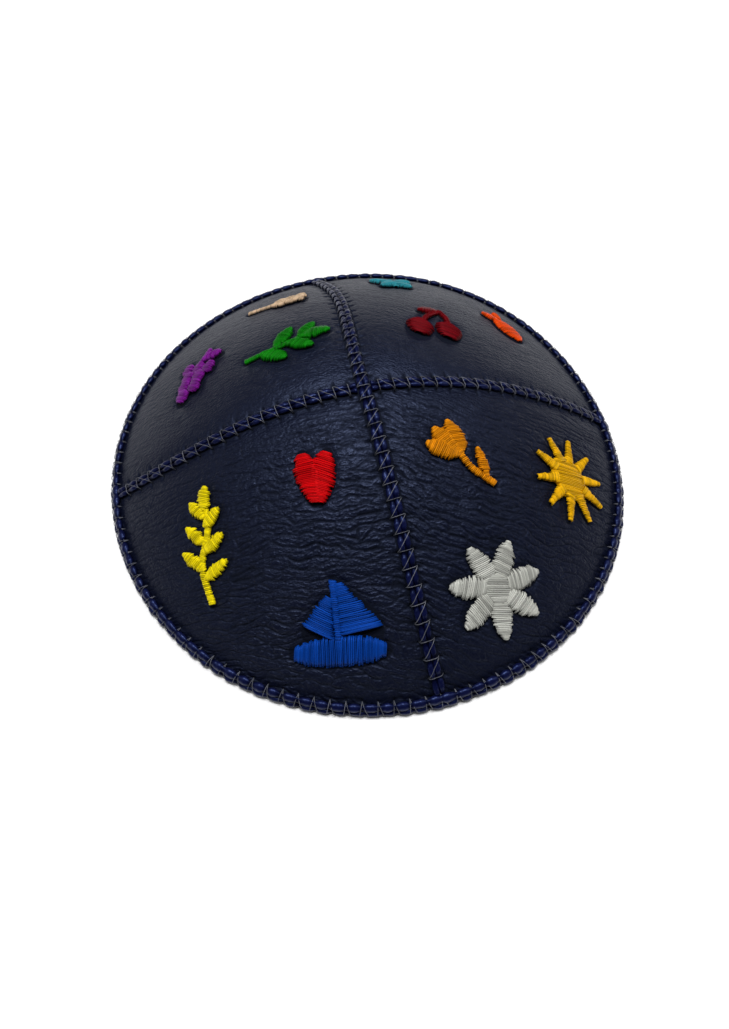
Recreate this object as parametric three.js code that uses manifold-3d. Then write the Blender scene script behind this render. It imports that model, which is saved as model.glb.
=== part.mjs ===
// A leather kippah skullcap: four leather panels sewn into a shallow dome, satin cord
// couched over the seams and round the rim, and a satin-stitch motif at twelve places.
// Millimetres, +Z up. The rim rests on Z = 0, the origin is the middle of the rim, and -Y is the front.

import * as THREE from 'three';
import { LoftGeometry } from 'three/addons/geometries/LoftGeometry.js';
import { mergeVertices } from 'three/addons/utils/BufferGeometryUtils.js';
import Module from 'manifold-3d';

// Driving sizes of the cap and its leather
const OUTER_DIAMETER = 165;
const LEATHER_CROWN = 37;
const LEATHER_WALL = 1.2;
const SEAM_GAP = 0.3;
const SEWING_CLEARANCE = 0.3;

// Each panel swells between its seams and the rim binding, which pull the leather down
const PANEL_SWELL = 0.8;
const STITCH_PULL_REACH = 4.5;

// Rim cord, flattened a little where it rests
const RIM_CORD_DIAMETER = 3.9;
const RIM_CORD_FLAT = 0.35;
const RIM_LIP = 0.35;
const LEATHER_IN_CORD = 0.5;
const RIM_SLOPE = THREE.MathUtils.degToRad(37);

// Seam cords, whose sides stand upright for a share of their height
const SEAM_CORD_WIDTH = 3.6;
const SEAM_CORD_HEIGHT = 1.3;
const SEAM_CORD_SHOULDER = 0.3;

// Embroidery
const THREAD_HEIGHT = 0.8;
const THREAD_LAYER = 0.05;
const STRAND_HALF_WIDTH = 0.9;

// Fineness of the facets
const PANEL_STEPS = 14;
const RIM_STEPS = 64;
const RIM_ARC_STEPS = 9;
const SEAM_CORD_STEPS = 44;
const SEAM_CORD_ARC_STEPS = 5;

// How far to either side the dome's facing and its slope are measured
const FACING_STEP = 0.05;
const SLOPE_STEP = 1;

// The four seams. bearing: where each lies in the flat pattern. swing: how far it is sewn
// round from there. bow: how far it bows sideways at mid length. All three are in degrees.
// fullness: how far the profile along it bulges out past a parabola, as a share.
const SEAMS = [
  { bearing: 0, swing: -1, bow: 2.1, fullness: -0.17 },
  { bearing: 90, swing: 3.9, bow: -4.4, fullness: -0.18 },
  { bearing: 180, swing: 0.3, bow: 1.7, fullness: -0.15 },
  { bearing: 270, swing: 4.5, bow: -1, fullness: -0.09 },
];

// How the hand-sewn cap is out of round. lobes: how many times its outline swells out.
// swell: by how much, as a share of the radius. bearing: where one swelling is, in degrees.
const OUT_OF_ROUND = [
  { lobes: 2, swell: 0.0121, bearing: 104.6 },
  { lobes: 3, swell: 0.0044, bearing: 303.6 },
  { lobes: 4, swell: 0.0041, bearing: 323.8 },
];

// Main creases of the leather, which run across the front seam. x, y, length and width are
// shares of the leather's radius, turn is in degrees, and depth is a share of the wall.
const CREASES = [
  { x: -0.17, y: -0.36, turn: 14, length: 0.2, width: 0.06, depth: 0.3 },
  { x: -0.2, y: -0.5, turn: 6, length: 0.24, width: 0.07, depth: 0.35 },
  { x: -0.14, y: -0.64, turn: -4, length: 0.16, width: 0.06, depth: 0.3 },
  { x: 0.2, y: -0.42, turn: -12, length: 0.2, width: 0.06, depth: 0.3 },
  { x: 0.17, y: -0.57, turn: -20, length: 0.16, width: 0.07, depth: 0.35 },
  { x: -0.44, y: -0.3, turn: 30, length: 0.2, width: 0.07, depth: 0.25 },
];

// The motifs. radius: how far the middle lies from the crown. height: how tall the motif is.
// Both are shares of the leather's radius. bearing and turn: where it lies and where its top
// points, in degrees.
const MOTIFS = [
  { name: 'motif_sprig_yellow', shape: sprig, colour: 0xe9df1e,
    radius: 0.735, bearing: 208.6, turn: 76, height: 0.406 },
  { name: 'motif_heart_red', shape: heart, colour: 0xd01722,
    radius: 0.36, bearing: 230.2, turn: 80, height: 0.178 },
  { name: 'motif_boat_blue', shape: boat, colour: 0x1f5fc4,
    radius: 0.765, bearing: 249.5, turn: 80, height: 0.283 },
  { name: 'motif_tulip_orange', shape: tulip, colour: 0xd98a1c,
    radius: 0.405, bearing: 312.2, turn: 128, height: 0.283 },
  { name: 'motif_sun_amber', shape: sun, colour: 0xe3ad1b,
    radius: 0.77, bearing: 332.5, turn: 90, height: 0.332 },
  { name: 'motif_daisy_silver', shape: daisy, colour: 0xc9cbca,
    radius: 0.77, bearing: 290.8, turn: 90, height: 0.344 },
  { name: 'motif_grapes_purple', shape: grapes, colour: 0x7a1f9a,
    radius: 0.71, bearing: 148, turn: 60, height: 0.283 },
  { name: 'motif_twig_green', shape: twig, colour: 0x177f1d,
    radius: 0.395, bearing: 126, turn: 8, height: 0.332 },
  { name: 'motif_wheat_beige', shape: wheat, colour: 0xc3a585,
    radius: 0.745, bearing: 108.5, turn: -4, height: 0.246 },
  { name: 'motif_cherries_crimson', shape: cherries, colour: 0x8c1220,
    radius: 0.485, bearing: 45.5, turn: 72, height: 0.234 },
  { name: 'motif_fish_orange', shape: fish, colour: 0xe8521c,
    radius: 0.815, bearing: 33, turn: -66, height: 0.209 },
  { name: 'motif_butterfly_cyan', shape: butterfly, colour: 0x2ba3b4,
    radius: 0.82, bearing: 70, turn: 84, height: 0.172 },
];

// Places that follow from the driving sizes
const RIM_CORD_RADIUS = RIM_CORD_DIAMETER / 2;
const RIM_CENTRE_RADIUS = OUTER_DIAMETER / 2 - RIM_CORD_RADIUS;
const RIM_CENTRE_Z = RIM_CORD_RADIUS - RIM_CORD_FLAT;
const LEATHER_RADIUS = RIM_CENTRE_RADIUS
  + LEATHER_IN_CORD * Math.cos(RIM_SLOPE) + (LEATHER_WALL / 2) * Math.sin(RIM_SLOPE);
const LEATHER_EDGE_Z = RIM_CENTRE_Z
  - LEATHER_IN_CORD * Math.sin(RIM_SLOPE) + (LEATHER_WALL / 2) * Math.cos(RIM_SLOPE);
const HALF_SLOT = LEATHER_WALL / 2 + SEWING_CLEARANCE;
const MOUTH_ANGLE = Math.asin((HALF_SLOT + RIM_LIP) / RIM_CORD_RADIUS);
const LIP_REACH = RIM_CORD_RADIUS * Math.cos(MOUTH_ANGLE) + LEATHER_IN_CORD;
const MOUTH_RADIUS = LEATHER_RADIUS - LIP_REACH * Math.cos(RIM_SLOPE);

const leather = new THREE.MeshStandardMaterial({ color: 0x1c2034, roughness: 0.5, metalness: 0 });
const satinCord = new THREE.MeshStandardMaterial({ color: 0x141b4a, roughness: 0.4, metalness: 0 });

// The shape of the dome

// How much each seam's own value counts at an angle: all of it on the seam, none at its neighbours.
function alongSeams(angle, value) {
  let sum = 0;
  for (const seam of SEAMS) {
    const nearness = Math.cos(angle - THREE.MathUtils.degToRad(seam.bearing));
    sum += nearness > 0 ? value(seam) * nearness * nearness : 0;
  }
  return sum;
}

// 0 on a line of stitches, 1 well away from it.
function awayFromStitches(distance) {
  return 1 - Math.exp(-((Math.max(distance, 0) / STITCH_PULL_REACH) ** 2));
}

function creaseDepth(x, y) {
  let depth = 0;
  for (const crease of CREASES) {
    const turn = THREE.MathUtils.degToRad(crease.turn);
    const dx = x / LEATHER_RADIUS - crease.x;
    const dy = y / LEATHER_RADIUS - crease.y;
    const along = (dx * Math.cos(turn) + dy * Math.sin(turn)) / crease.length;
    const across = (dy * Math.cos(turn) - dx * Math.sin(turn)) / crease.width;
    depth += crease.depth * LEATHER_WALL * Math.exp(-(along ** 2) - across ** 2);
  }
  return depth;
}

// How far the outline swells at an angle, as a factor on the radius.
function outline(angle) {
  return OUT_OF_ROUND.reduce((factor, swelling) => {
    const offset = angle - THREE.MathUtils.degToRad(swelling.bearing);
    return factor + swelling.swell * Math.cos(swelling.lobes * offset);
  }, 1);
}

// A point of the flat pattern, whose seams lie along X and Y, on the leather's outer face.
function outerFace(x, y) {
  const radius = Math.hypot(x, y);
  const share = radius / LEATHER_RADIUS;
  const angle = Math.atan2(y, x);
  const fullness = alongSeams(angle, (seam) => seam.fullness);
  const swing = alongSeams(angle, (seam) => seam.swing + seam.bow * 4 * share * (1 - share));
  const sewnAngle = angle + THREE.MathUtils.degToRad(swing);
  const fall = share ** 2 * (1 - fullness * (1 - share ** 2));
  const stitchShare = awayFromStitches(Math.abs(x)) * awayFromStitches(Math.abs(y))
    * awayFromStitches(LEATHER_RADIUS - radius);
  const z = LEATHER_EDGE_Z + (LEATHER_CROWN - LEATHER_EDGE_Z) * (1 - fall)
    + stitchShare * (PANEL_SWELL - creaseDepth(x, y));
  const sewnRadius = radius * outline(sewnAngle);
  return new THREE.Vector3(sewnRadius * Math.cos(sewnAngle), sewnRadius * Math.sin(sewnAngle), z);
}

// The same point, raised off the outer face by a height, or sunk into the leather by a negative one.
function onDome(x, y, height) {
  const alongX = outerFace(x + FACING_STEP, y).sub(outerFace(x - FACING_STEP, y));
  const alongY = outerFace(x, y + FACING_STEP).sub(outerFace(x, y - FACING_STEP));
  const normal = alongX.cross(alongY).normalize();
  return outerFace(x, y).addScaledVector(normal, height);
}

// Moves each vertex of a geometry through a function, and joins the faces into one closed skin.
function reshaped(geometry, move) {
  const place = geometry.attributes.position;
  for (let i = 0; i < place.count; i += 1) {
    const moved = move(new THREE.Vector3().fromBufferAttribute(place, i));
    place.setXYZ(i, moved.x, moved.y, moved.z);
  }
  return closedSkin(geometry);
}

function closedSkin(geometry) {
  const faces = new THREE.BufferGeometry();
  faces.setAttribute('position', geometry.getAttribute('position'));
  faces.setIndex(geometry.index);
  const skin = mergeVertices(faces);
  skin.computeVertexNormals();
  return skin;
}

// Leather panels

// A quarter of the dome between the seams at a bearing and the next one round.
function panelGeometry(bearing) {
  const turn = THREE.MathUtils.degToRad(bearing);
  const box = new THREE.BoxGeometry(1, 1, 1, PANEL_STEPS, PANEL_STEPS, 1);
  return reshaped(box, (corner) => {
    const u = corner.x + 0.5;
    const v = corner.y + 0.5;
    const a = Math.max(LEATHER_RADIUS * u * Math.sqrt(1 - v * v / 2), SEAM_GAP / 2);
    const b = Math.max(LEATHER_RADIUS * v * Math.sqrt(1 - u * u / 2), SEAM_GAP / 2);
    const x = a * Math.cos(turn) - b * Math.sin(turn);
    const y = a * Math.sin(turn) + b * Math.cos(turn);
    return onDome(x, y, corner.z > 0 ? 0 : -LEATHER_WALL);
  });
}

// Cords

// The section of a seam cord at a point along its seam: flat below and round above.
function seamCordSection(bearing, radius) {
  const turn = THREE.MathUtils.degToRad(bearing);
  const at = (side, height) => {
    const x = radius * Math.cos(turn) - side * Math.sin(turn);
    const y = radius * Math.sin(turn) + side * Math.cos(turn);
    return onDome(x, y, SEWING_CLEARANCE + height);
  };
  const section = [];
  for (let i = 0; i <= SEAM_CORD_ARC_STEPS; i += 1) {
    const angle = Math.PI * i / SEAM_CORD_ARC_STEPS;
    const rise = SEAM_CORD_SHOULDER + (1 - SEAM_CORD_SHOULDER) * Math.sin(angle);
    section.push(at((SEAM_CORD_WIDTH / 2) * Math.cos(angle), SEAM_CORD_HEIGHT * rise));
  }
  section.push(at(-SEAM_CORD_WIDTH / 2, 0), at(SEAM_CORD_WIDTH / 2, 0));
  return section;
}

// A cord over the seam at a bearing. A negative start lies beyond the crown.
function seamCordGeometry(bearing, start, end, steps) {
  const sections = [];
  for (let i = 0; i <= steps; i += 1) {
    sections.push(seamCordSection(bearing, start + (end - start) * i / steps));
  }
  return closedSkin(new LoftGeometry(sections, { capStart: true, capEnd: true }));
}

// The section of the rim cord at a bearing: a round with a slot that holds the leather's edge.
function rimSection(angle) {
  const at = (radius, height) => onDome(radius * Math.cos(angle), radius * Math.sin(angle), height);
  const slotBottom = LEATHER_RADIUS + SEWING_CLEARANCE;
  const upperLip = at(MOUTH_RADIUS, SEWING_CLEARANCE);
  const lowerLip = at(MOUTH_RADIUS, -LEATHER_WALL - SEWING_CLEARANCE);
  const mouth = upperLip.clone().add(lowerLip).multiplyScalar(0.5);
  const bearing = Math.atan2(mouth.y, mouth.x);
  const centreRadius = RIM_CENTRE_RADIUS * outline(bearing);
  const mouthTurn = Math.atan2(mouth.z - RIM_CENTRE_Z, Math.hypot(mouth.x, mouth.y) - centreRadius);
  const section = [];
  for (let i = 0; i <= RIM_ARC_STEPS; i += 1) {
    const turn = mouthTurn + MOUTH_ANGLE + (2 * Math.PI - 2 * MOUTH_ANGLE) * i / RIM_ARC_STEPS;
    const radius = centreRadius + RIM_CORD_RADIUS * Math.cos(turn);
    const z = Math.max(RIM_CENTRE_Z + RIM_CORD_RADIUS * Math.sin(turn), 0);
    section.push(new THREE.Vector3(radius * Math.cos(bearing), radius * Math.sin(bearing), z));
  }
  section.push(upperLip, at(slotBottom, SEWING_CLEARANCE));
  section.push(at(slotBottom, -LEATHER_WALL - SEWING_CLEARANCE), lowerLip);
  return section;
}

function rimCordGeometry() {
  const sections = [];
  for (let i = 0; i < RIM_STEPS; i += 1) {
    sections.push(rimSection(-2 * Math.PI * i / RIM_STEPS));
  }
  sections.push(sections[0]);
  return closedSkin(new LoftGeometry(sections));
}

// Embroidery

// Satin-stitch columns in a motif's own square, where 1 is the motif's height: points of the
// spine, and the half width there, which is taken from evenly spaced values.
function leaf(fromX, fromY, toX, toY, half) {
  return {
    spine: [[fromX, fromY], [toX, toY]],
    halves: [0.25 * half, half, 0.95 * half, 0.2 * half],
    steps: 3,
  };
}

function disc(x, y, half) {
  return {
    spine: [[x, y - half], [x, y + half]],
    halves: [0.42 * half, 0.88 * half, half, 0.88 * half, 0.42 * half],
    steps: 4,
  };
}

function strand(spine, size, steps) {
  const half = STRAND_HALF_WIDTH / size;
  return { spine, halves: [half, half], steps };
}

function wedge(fromX, fromY, toX, toY, halfFrom, halfTo) {
  return { spine: [[fromX, fromY], [toX, toY]], halves: [halfFrom, halfTo], steps: 1 };
}

function heart() {
  const spine = [[0.05, -0.5], [0.1, -0.1], [0.24, 0.42]];
  const mirrored = spine.map(([x, y]) => [-x, y]);
  const halves = [0.08, 0.2, 0.25, 0.1];
  return [{ spine, halves, steps: 4 }, { spine: mirrored, halves, steps: 4 }];
}

function sprig(size) {
  const columns = [strand([[0.06, -0.5], [-0.03, -0.2], [0.03, 0.1], [-0.01, 0.36]], size, 8)];
  for (let pair = 0; pair < 3; pair += 1) {
    const y = -0.3 + 0.22 * pair;
    const reach = 0.22 - 0.035 * pair;
    columns.push(leaf(0, y, reach, y + 0.15, 0.05), leaf(0, y + 0.07, -reach, y + 0.22, 0.05));
  }
  columns.push(leaf(-0.01, 0.28, 0.01, 0.5, 0.06));
  return columns;
}

function boat(size) {
  return [
    { spine: [[-0.52, -0.33], [0.52, -0.33]], halves: [0.07, 0.15, 0.17, 0.15, 0.07], steps: 4 },
    strand([[0, -0.3], [0, 0.5]], size, 4),
    wedge(0.26, -0.1, 0.06, 0.46, 0.26, 0.04),
    wedge(-0.22, -0.1, -0.06, 0.3, 0.2, 0.04),
  ];
}

function tulip(size) {
  return [
    strand([[0, 0.1], [-0.04, -0.2], [0.04, -0.5]], size, 6),
    leaf(0, 0.02, 0, 0.5, 0.13),
    leaf(-0.04, 0.04, -0.22, 0.44, 0.11),
    leaf(0.04, 0.04, 0.22, 0.44, 0.11),
    leaf(0.02, -0.38, 0.22, -0.06, 0.06),
  ];
}

function sun() {
  const columns = [disc(0, 0, 0.25)];
  const rays = 10;
  for (let ray = 0; ray < rays; ray += 1) {
    const angle = 2 * Math.PI * ray / rays;
    const [across, up] = [Math.cos(angle), Math.sin(angle)];
    columns.push(wedge(0.2 * across, 0.2 * up, 0.5 * across, 0.5 * up, 0.062, 0.022));
  }
  return columns;
}

function daisy() {
  const columns = [];
  const petals = 7;
  for (let petal = 0; petal < petals; petal += 1) {
    const angle = 2 * Math.PI * (petal + 0.25) / petals;
    const [across, up] = [Math.cos(angle), Math.sin(angle)];
    columns.push(leaf(0.06 * across, 0.06 * up, 0.5 * across, 0.5 * up, 0.1));
  }
  columns.push(disc(0, 0, 0.14));
  return columns;
}

function grapes(size) {
  const columns = [];
  const rows = [3, 2, 2, 1];
  rows.forEach((count, row) => {
    const start = -(count - 1) / 2 + (row === 2 ? 0.16 : 0);
    for (let i = 0; i < count; i += 1) {
      columns.push(disc((start + i) * 0.2, 0.12 - 0.155 * row, 0.12));
    }
  });
  columns.push(strand([[0, 0.15], [0.02, 0.5]], size, 2), leaf(0, 0.3, 0.3, 0.4, 0.09));
  return columns;
}

function twig(size) {
  return [
    strand([[0, -0.5], [0.03, -0.1], [0, 0.25]], size, 6),
    leaf(0, -0.3, 0.28, -0.06, 0.085),
    leaf(0, -0.14, -0.27, 0.1, 0.085),
    leaf(0.01, 0.0, 0.25, 0.26, 0.08),
    leaf(0, 0.14, -0.2, 0.36, 0.075),
    leaf(0, 0.18, 0.04, 0.5, 0.085),
  ];
}

function wheat(size) {
  const columns = [strand([[0, -0.5], [0.02, 0.3]], size, 5)];
  for (let pair = 0; pair < 3; pair += 1) {
    const y = -0.1 + 0.17 * pair;
    columns.push(leaf(0, y, 0.17, y + 0.2, 0.065), leaf(0, y + 0.04, -0.16, y + 0.24, 0.065));
  }
  columns.push(leaf(0.01, 0.26, 0.02, 0.5, 0.065));
  return columns;
}

function cherries(size) {
  return [
    disc(-0.24, -0.26, 0.23),
    disc(0.26, -0.16, 0.23),
    strand([[-0.22, -0.1], [-0.12, 0.2], [0.06, 0.46]], size, 4),
    strand([[0.24, 0], [0.2, 0.24], [0.06, 0.46]], size, 4),
    leaf(0.02, 0.42, -0.32, 0.34, 0.09),
  ];
}

function fish() {
  return [
    { spine: [[0, -0.22], [0, 0.5]], halves: [0.06, 0.2, 0.24, 0.17, 0.04], steps: 4 },
    leaf(0, -0.14, 0.2, -0.5, 0.08),
    leaf(0, -0.14, -0.2, -0.5, 0.08),
  ];
}

function butterfly(size) {
  return [
    strand([[0, -0.34], [0, 0.36]], size, 2),
    leaf(0.02, 0, 0.5, 0.36, 0.19),
    leaf(-0.02, 0, -0.5, 0.36, 0.19),
    leaf(0.02, -0.04, 0.38, -0.36, 0.15),
    leaf(-0.02, -0.04, -0.38, -0.36, 0.15),
  ];
}

function valueAlong(values, t) {
  const place = t * (values.length - 1);
  const before = Math.min(Math.floor(place), values.length - 2);
  return THREE.MathUtils.lerp(values[before], values[before + 1], place - before);
}

// A point of a motif's own square in the flat pattern. The dome's slope shortens what lies along it.
function motifPlace(motif, u, v) {
  const bearing = THREE.MathUtils.degToRad(motif.bearing);
  const turn = THREE.MathUtils.degToRad(motif.turn) - bearing;
  const radius = motif.radius * LEATHER_RADIUS;
  const size = motif.height * LEATHER_RADIUS;
  const outward = (u * Math.sin(turn) + v * Math.cos(turn)) * size;
  const sideways = (v * Math.sin(turn) - u * Math.cos(turn)) * size;
  const at = (distance) => outerFace(distance * Math.cos(bearing), distance * Math.sin(bearing));
  const shortening = 2 * SLOPE_STEP / at(radius - SLOPE_STEP).distanceTo(at(radius + SLOPE_STEP));
  const x = (radius + outward * shortening) * Math.cos(bearing) - sideways * Math.sin(bearing);
  const y = (radius + outward * shortening) * Math.sin(bearing) + sideways * Math.cos(bearing);
  return [x, y];
}

function columnGeometry(motif, column, layer) {
  const curve = new THREE.SplineCurve(column.spine.map(([x, y]) => new THREE.Vector2(x, y)));
  const box = new THREE.BoxGeometry(1, 1, 1, column.steps, 1, 1);
  const underside = SEWING_CLEARANCE + THREAD_LAYER * layer;
  return reshaped(box, (corner) => {
    const t = corner.x + 0.5;
    const spinePoint = curve.getPoint(t);
    const tangent = curve.getTangent(t);
    const side = 2 * corner.y * valueAlong(column.halves, t);
    const [x, y] = motifPlace(motif, spinePoint.x - tangent.y * side, spinePoint.y + tangent.x * side);
    return onDome(x, y, corner.z > 0 ? underside + THREAD_HEIGHT : underside);
  });
}

const wasm = await Module();
wasm.setup();

function solidOf(geometry) {
  return new wasm.Manifold(new wasm.Mesh({
    numProp: 3,
    vertProperties: new Float32Array(geometry.attributes.position.array),
    triVerts: new Uint32Array(geometry.index.array),
  }));
}

function geometryOf(solid) {
  const mesh = solid.getMesh();
  const geometry = new THREE.BufferGeometry();
  geometry.setAttribute('position', new THREE.BufferAttribute(new Float32Array(mesh.vertProperties), 3));
  geometry.setIndex(new THREE.BufferAttribute(new Uint32Array(mesh.triVerts), 1));
  geometry.computeVertexNormals();
  return geometry;
}

function motifGeometry(motif) {
  const columns = motif.shape(motif.height * LEATHER_RADIUS);
  let body = solidOf(columnGeometry(motif, columns[0], 0));
  for (let i = 1; i < columns.length; i += 1) {
    body = body.add(solidOf(columnGeometry(motif, columns[i], i)));
  }
  return geometryOf(body);
}

// The cap

const kippah = new THREE.Group();

function addPiece(name, geometry, material) {
  const piece = new THREE.Mesh(geometry, material);
  piece.name = name;
  kippah.add(piece);
}

addPiece('panel_back_right', panelGeometry(0), leather);
addPiece('panel_back_left', panelGeometry(90), leather);
addPiece('panel_front_left', panelGeometry(180), leather);
addPiece('panel_front_right', panelGeometry(270), leather);

const cordEnd = MOUTH_RADIUS - SEWING_CLEARANCE;
const besideLongCord = SEAM_CORD_WIDTH / 2 + SEWING_CLEARANCE;
addPiece('seam_cord_long', seamCordGeometry(90, -cordEnd, cordEnd, SEAM_CORD_STEPS), satinCord);
addPiece('seam_cord_right', seamCordGeometry(0, besideLongCord, cordEnd, SEAM_CORD_STEPS / 2), satinCord);
addPiece('seam_cord_left', seamCordGeometry(180, besideLongCord, cordEnd, SEAM_CORD_STEPS / 2), satinCord);
addPiece('rim_cord', rimCordGeometry(), satinCord);

for (const motif of MOTIFS) {
  const thread = new THREE.MeshStandardMaterial({ color: motif.colour, roughness: 0.45, metalness: 0 });
  addPiece(motif.name, motifGeometry(motif), thread);
}

export default kippah;
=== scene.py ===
"""A leather kippah skullcap dressed round its CAD solids: grained and creased leather panels,
couched satin cord, zigzag thread, a scalloped rim and satin-stitch motifs.

The shape is worked out in millimetres, as the part's source does, and made in metres.
+Z is up and -Y is the front."""

import math

import bpy
import numpy as np
from mathutils import Matrix, Vector


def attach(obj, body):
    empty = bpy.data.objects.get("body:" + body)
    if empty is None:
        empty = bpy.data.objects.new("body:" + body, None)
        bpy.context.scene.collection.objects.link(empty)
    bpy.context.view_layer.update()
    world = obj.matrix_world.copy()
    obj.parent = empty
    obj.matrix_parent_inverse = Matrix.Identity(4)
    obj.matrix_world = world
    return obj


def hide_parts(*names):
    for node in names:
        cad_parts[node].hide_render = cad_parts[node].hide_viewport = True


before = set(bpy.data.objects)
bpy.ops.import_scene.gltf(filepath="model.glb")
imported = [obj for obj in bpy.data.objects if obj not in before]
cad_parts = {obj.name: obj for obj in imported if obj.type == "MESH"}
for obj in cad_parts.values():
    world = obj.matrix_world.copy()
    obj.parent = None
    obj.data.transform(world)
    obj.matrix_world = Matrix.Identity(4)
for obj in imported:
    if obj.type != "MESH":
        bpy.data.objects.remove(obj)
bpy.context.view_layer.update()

MM = 0.001

# Driving sizes of the cap, in millimetres, as in the part's source
OUTER_DIAMETER = 165.0
LEATHER_CROWN = 37.0
LEATHER_WALL = 1.2
PANEL_SWELL = 0.8
STITCH_PULL_REACH = 4.5
RIM_CORD_RADIUS = 1.95
RIM_CORD_FLAT = 0.35
RIM_LIP = 0.35
LEATHER_IN_CORD = 0.5
RIM_SLOPE = math.radians(37)
SEAM_CORD_WIDTH = 3.6
SEWING_CLEARANCE = 0.3
THREAD_LAYER = 0.05

RIM_CENTRE_RADIUS = OUTER_DIAMETER / 2 - RIM_CORD_RADIUS
LEATHER_RADIUS = (RIM_CENTRE_RADIUS + LEATHER_IN_CORD * math.cos(RIM_SLOPE)
                  + LEATHER_WALL / 2 * math.sin(RIM_SLOPE))
LEATHER_EDGE_Z = (RIM_CORD_RADIUS - RIM_CORD_FLAT - LEATHER_IN_CORD * math.sin(RIM_SLOPE)
                  + LEATHER_WALL / 2 * math.cos(RIM_SLOPE))

# Where the seam cords end, at the mouth of the rim cord and beside the long seam cord
HALF_SLOT = LEATHER_WALL / 2 + SEWING_CLEARANCE
MOUTH_ANGLE = math.asin((HALF_SLOT + RIM_LIP) / RIM_CORD_RADIUS)
LIP_REACH = RIM_CORD_RADIUS * math.cos(MOUTH_ANGLE) + LEATHER_IN_CORD
CORD_END = LEATHER_RADIUS - LIP_REACH * math.cos(RIM_SLOPE) - SEWING_CLEARANCE
BESIDE_LONG_CORD = SEAM_CORD_WIDTH / 2 + SEWING_CLEARANCE

# Between the dressed panels' edges, which all but meet under the cord
SEAM_GAP = 0.04

# The four seams: bearing, swing and bow in degrees, and fullness of the profile
SEAMS = [
    {"bearing": 0, "swing": -1.0, "bow": 2.1, "fullness": -0.17},
    {"bearing": 90, "swing": 3.9, "bow": -4.4, "fullness": -0.18},
    {"bearing": 180, "swing": 0.3, "bow": 1.7, "fullness": -0.15},
    {"bearing": 270, "swing": 4.5, "bow": -1.0, "fullness": -0.09},
]

# How the hand-sewn cap is out of round
OUT_OF_ROUND = [
    {"lobes": 2, "swell": 0.0121, "bearing": 104.6},
    {"lobes": 3, "swell": 0.0044, "bearing": 303.6},
    {"lobes": 4, "swell": 0.0041, "bearing": 323.8},
]

# Main creases of the leather, in shares of its radius, degrees and a share of the wall
CREASES = [
    {"x": -0.17, "y": -0.36, "turn": 14, "length": 0.2, "width": 0.06, "depth": 0.3},
    {"x": -0.2, "y": -0.5, "turn": 6, "length": 0.24, "width": 0.07, "depth": 0.35},
    {"x": -0.14, "y": -0.64, "turn": -4, "length": 0.16, "width": 0.06, "depth": 0.3},
    {"x": 0.2, "y": -0.42, "turn": -12, "length": 0.2, "width": 0.06, "depth": 0.3},
    {"x": 0.17, "y": -0.57, "turn": -20, "length": 0.16, "width": 0.07, "depth": 0.35},
    {"x": -0.44, "y": -0.3, "turn": 30, "length": 0.2, "width": 0.07, "depth": 0.25},
]

# Couching over the seams and round the rim
STITCH = 4.2
HOLE_OFFSET = 2.2
HOLE_RADIUS = 0.32
RIM_STITCHES = 120
RIM_HOLE_AXIAL = -2.35
ZIGZAG_RADIUS = 0.095
ZIGZAG_LEAN = 0.3
ZIGZAG_JITTER = 0.14
CORD_TWIST = 1.6

# The zigzag thread's depth in its needle holes, and its arch over the cord and under the leather
THREAD_DIP = 0.35
OVER_CORD_ARCH = 1.66
BETWEEN_STRANDS_SAG = 0.16
INNER_THREAD_DIP = 0.3
UNDER_LEATHER_ARCH = 0.42

# One of the two strands side by side over a seam, pinched by the thread's two limbs
SEAM_STRAND = {"side": 0.9, "height": 0.62, "width": 0.88, "thick": 0.7}
SEAM_PINCH = 0.34
SLANTED_PINCH = 0.22
PINCH_WIDTH = 0.13

# The three strands round the rim: on top of the leather's edge, outside it and underneath
RIM_STRANDS = [
    {"axial": -1.0, "height": 0.72, "width": 1.2, "thick": 0.82, "pinch": 0.0},
    {"axial": 0.84, "height": -0.4, "width": 0.95, "thick": 1.2, "pinch": 0.14},
    {"axial": -0.62, "height": -1.82, "width": 1.0, "thick": 0.7, "pinch": 0.3},
]
RIM_UNEVENNESS = 0.2
RIM_SEAM_LUMP = 0.2
RIM_PINCH = 0.36
RIM_PINCH_WIDTH = 0.22
RIM_WANDER = 0.22

# The thread's oval round the rim, with its start and sweep in degrees, and its limbs' spread
# from a needle hole, in shares of a stitch
RIM_WRAP = {"axial": -0.35, "height": -0.6, "half_width": 2.05, "half_height": 2.0,
            "start": 158, "sweep": 300}
RIM_LIMBS = (-0.16, 0.36)
RIM_LIMB_JITTER = 0.06
RIM_THREAD_DIP = 0.3

# Embroidery thread
SATIN_PITCH = 0.42
SATIN_RADIUS = 0.25
SATIN_LOFT = 0.6
SATIN_TWIST = 0.9
SATIN_ROOT_DEPTH = 0.25
SATIN_SHOULDER = 0.45
SATIN_SLANT = 0.16
STRAND_HALF_WIDTH = 0.9

# Ragged ends of the stitches: how many are pulled short, by how much, and the spread
SHORT_SHARE = 0.35
SHORT_PULL = -0.32
LONG_REACH = 0.14
END_SPREAD = 0.22

# Lengths and widths of the leather's elongated grain cells
FOLD_CELL = (6.0, 2.3)
WRINKLE_CELL = (2.9, 1.3)
FINE_CELL = (2.2, 0.8)

# How the creases run over the leather: slopes, and how they fan out to the left of the front
# seam and drop to its right
CREASE_SLOPE = 0.13
CREASE_LEAN = 0.3
LEFT_FAN = {"slope": 0.22, "y": -68, "reach": 26}
RIGHT_FAN = {"drop": 16, "reach": 26}

# How strongly the leather is creased at the back, over the front and in two areas of it
BACK_CREASING = 0.16
FRONT_CREASING = 0.2
AREA_CREASING = 0.8
CREASED_AREAS = [
    {"x": 0, "y": -43, "width": 50, "height": 40, "share": 1.0},
    {"x": -38, "y": -50, "width": 26, "height": 22, "share": 0.9},
]

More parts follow.
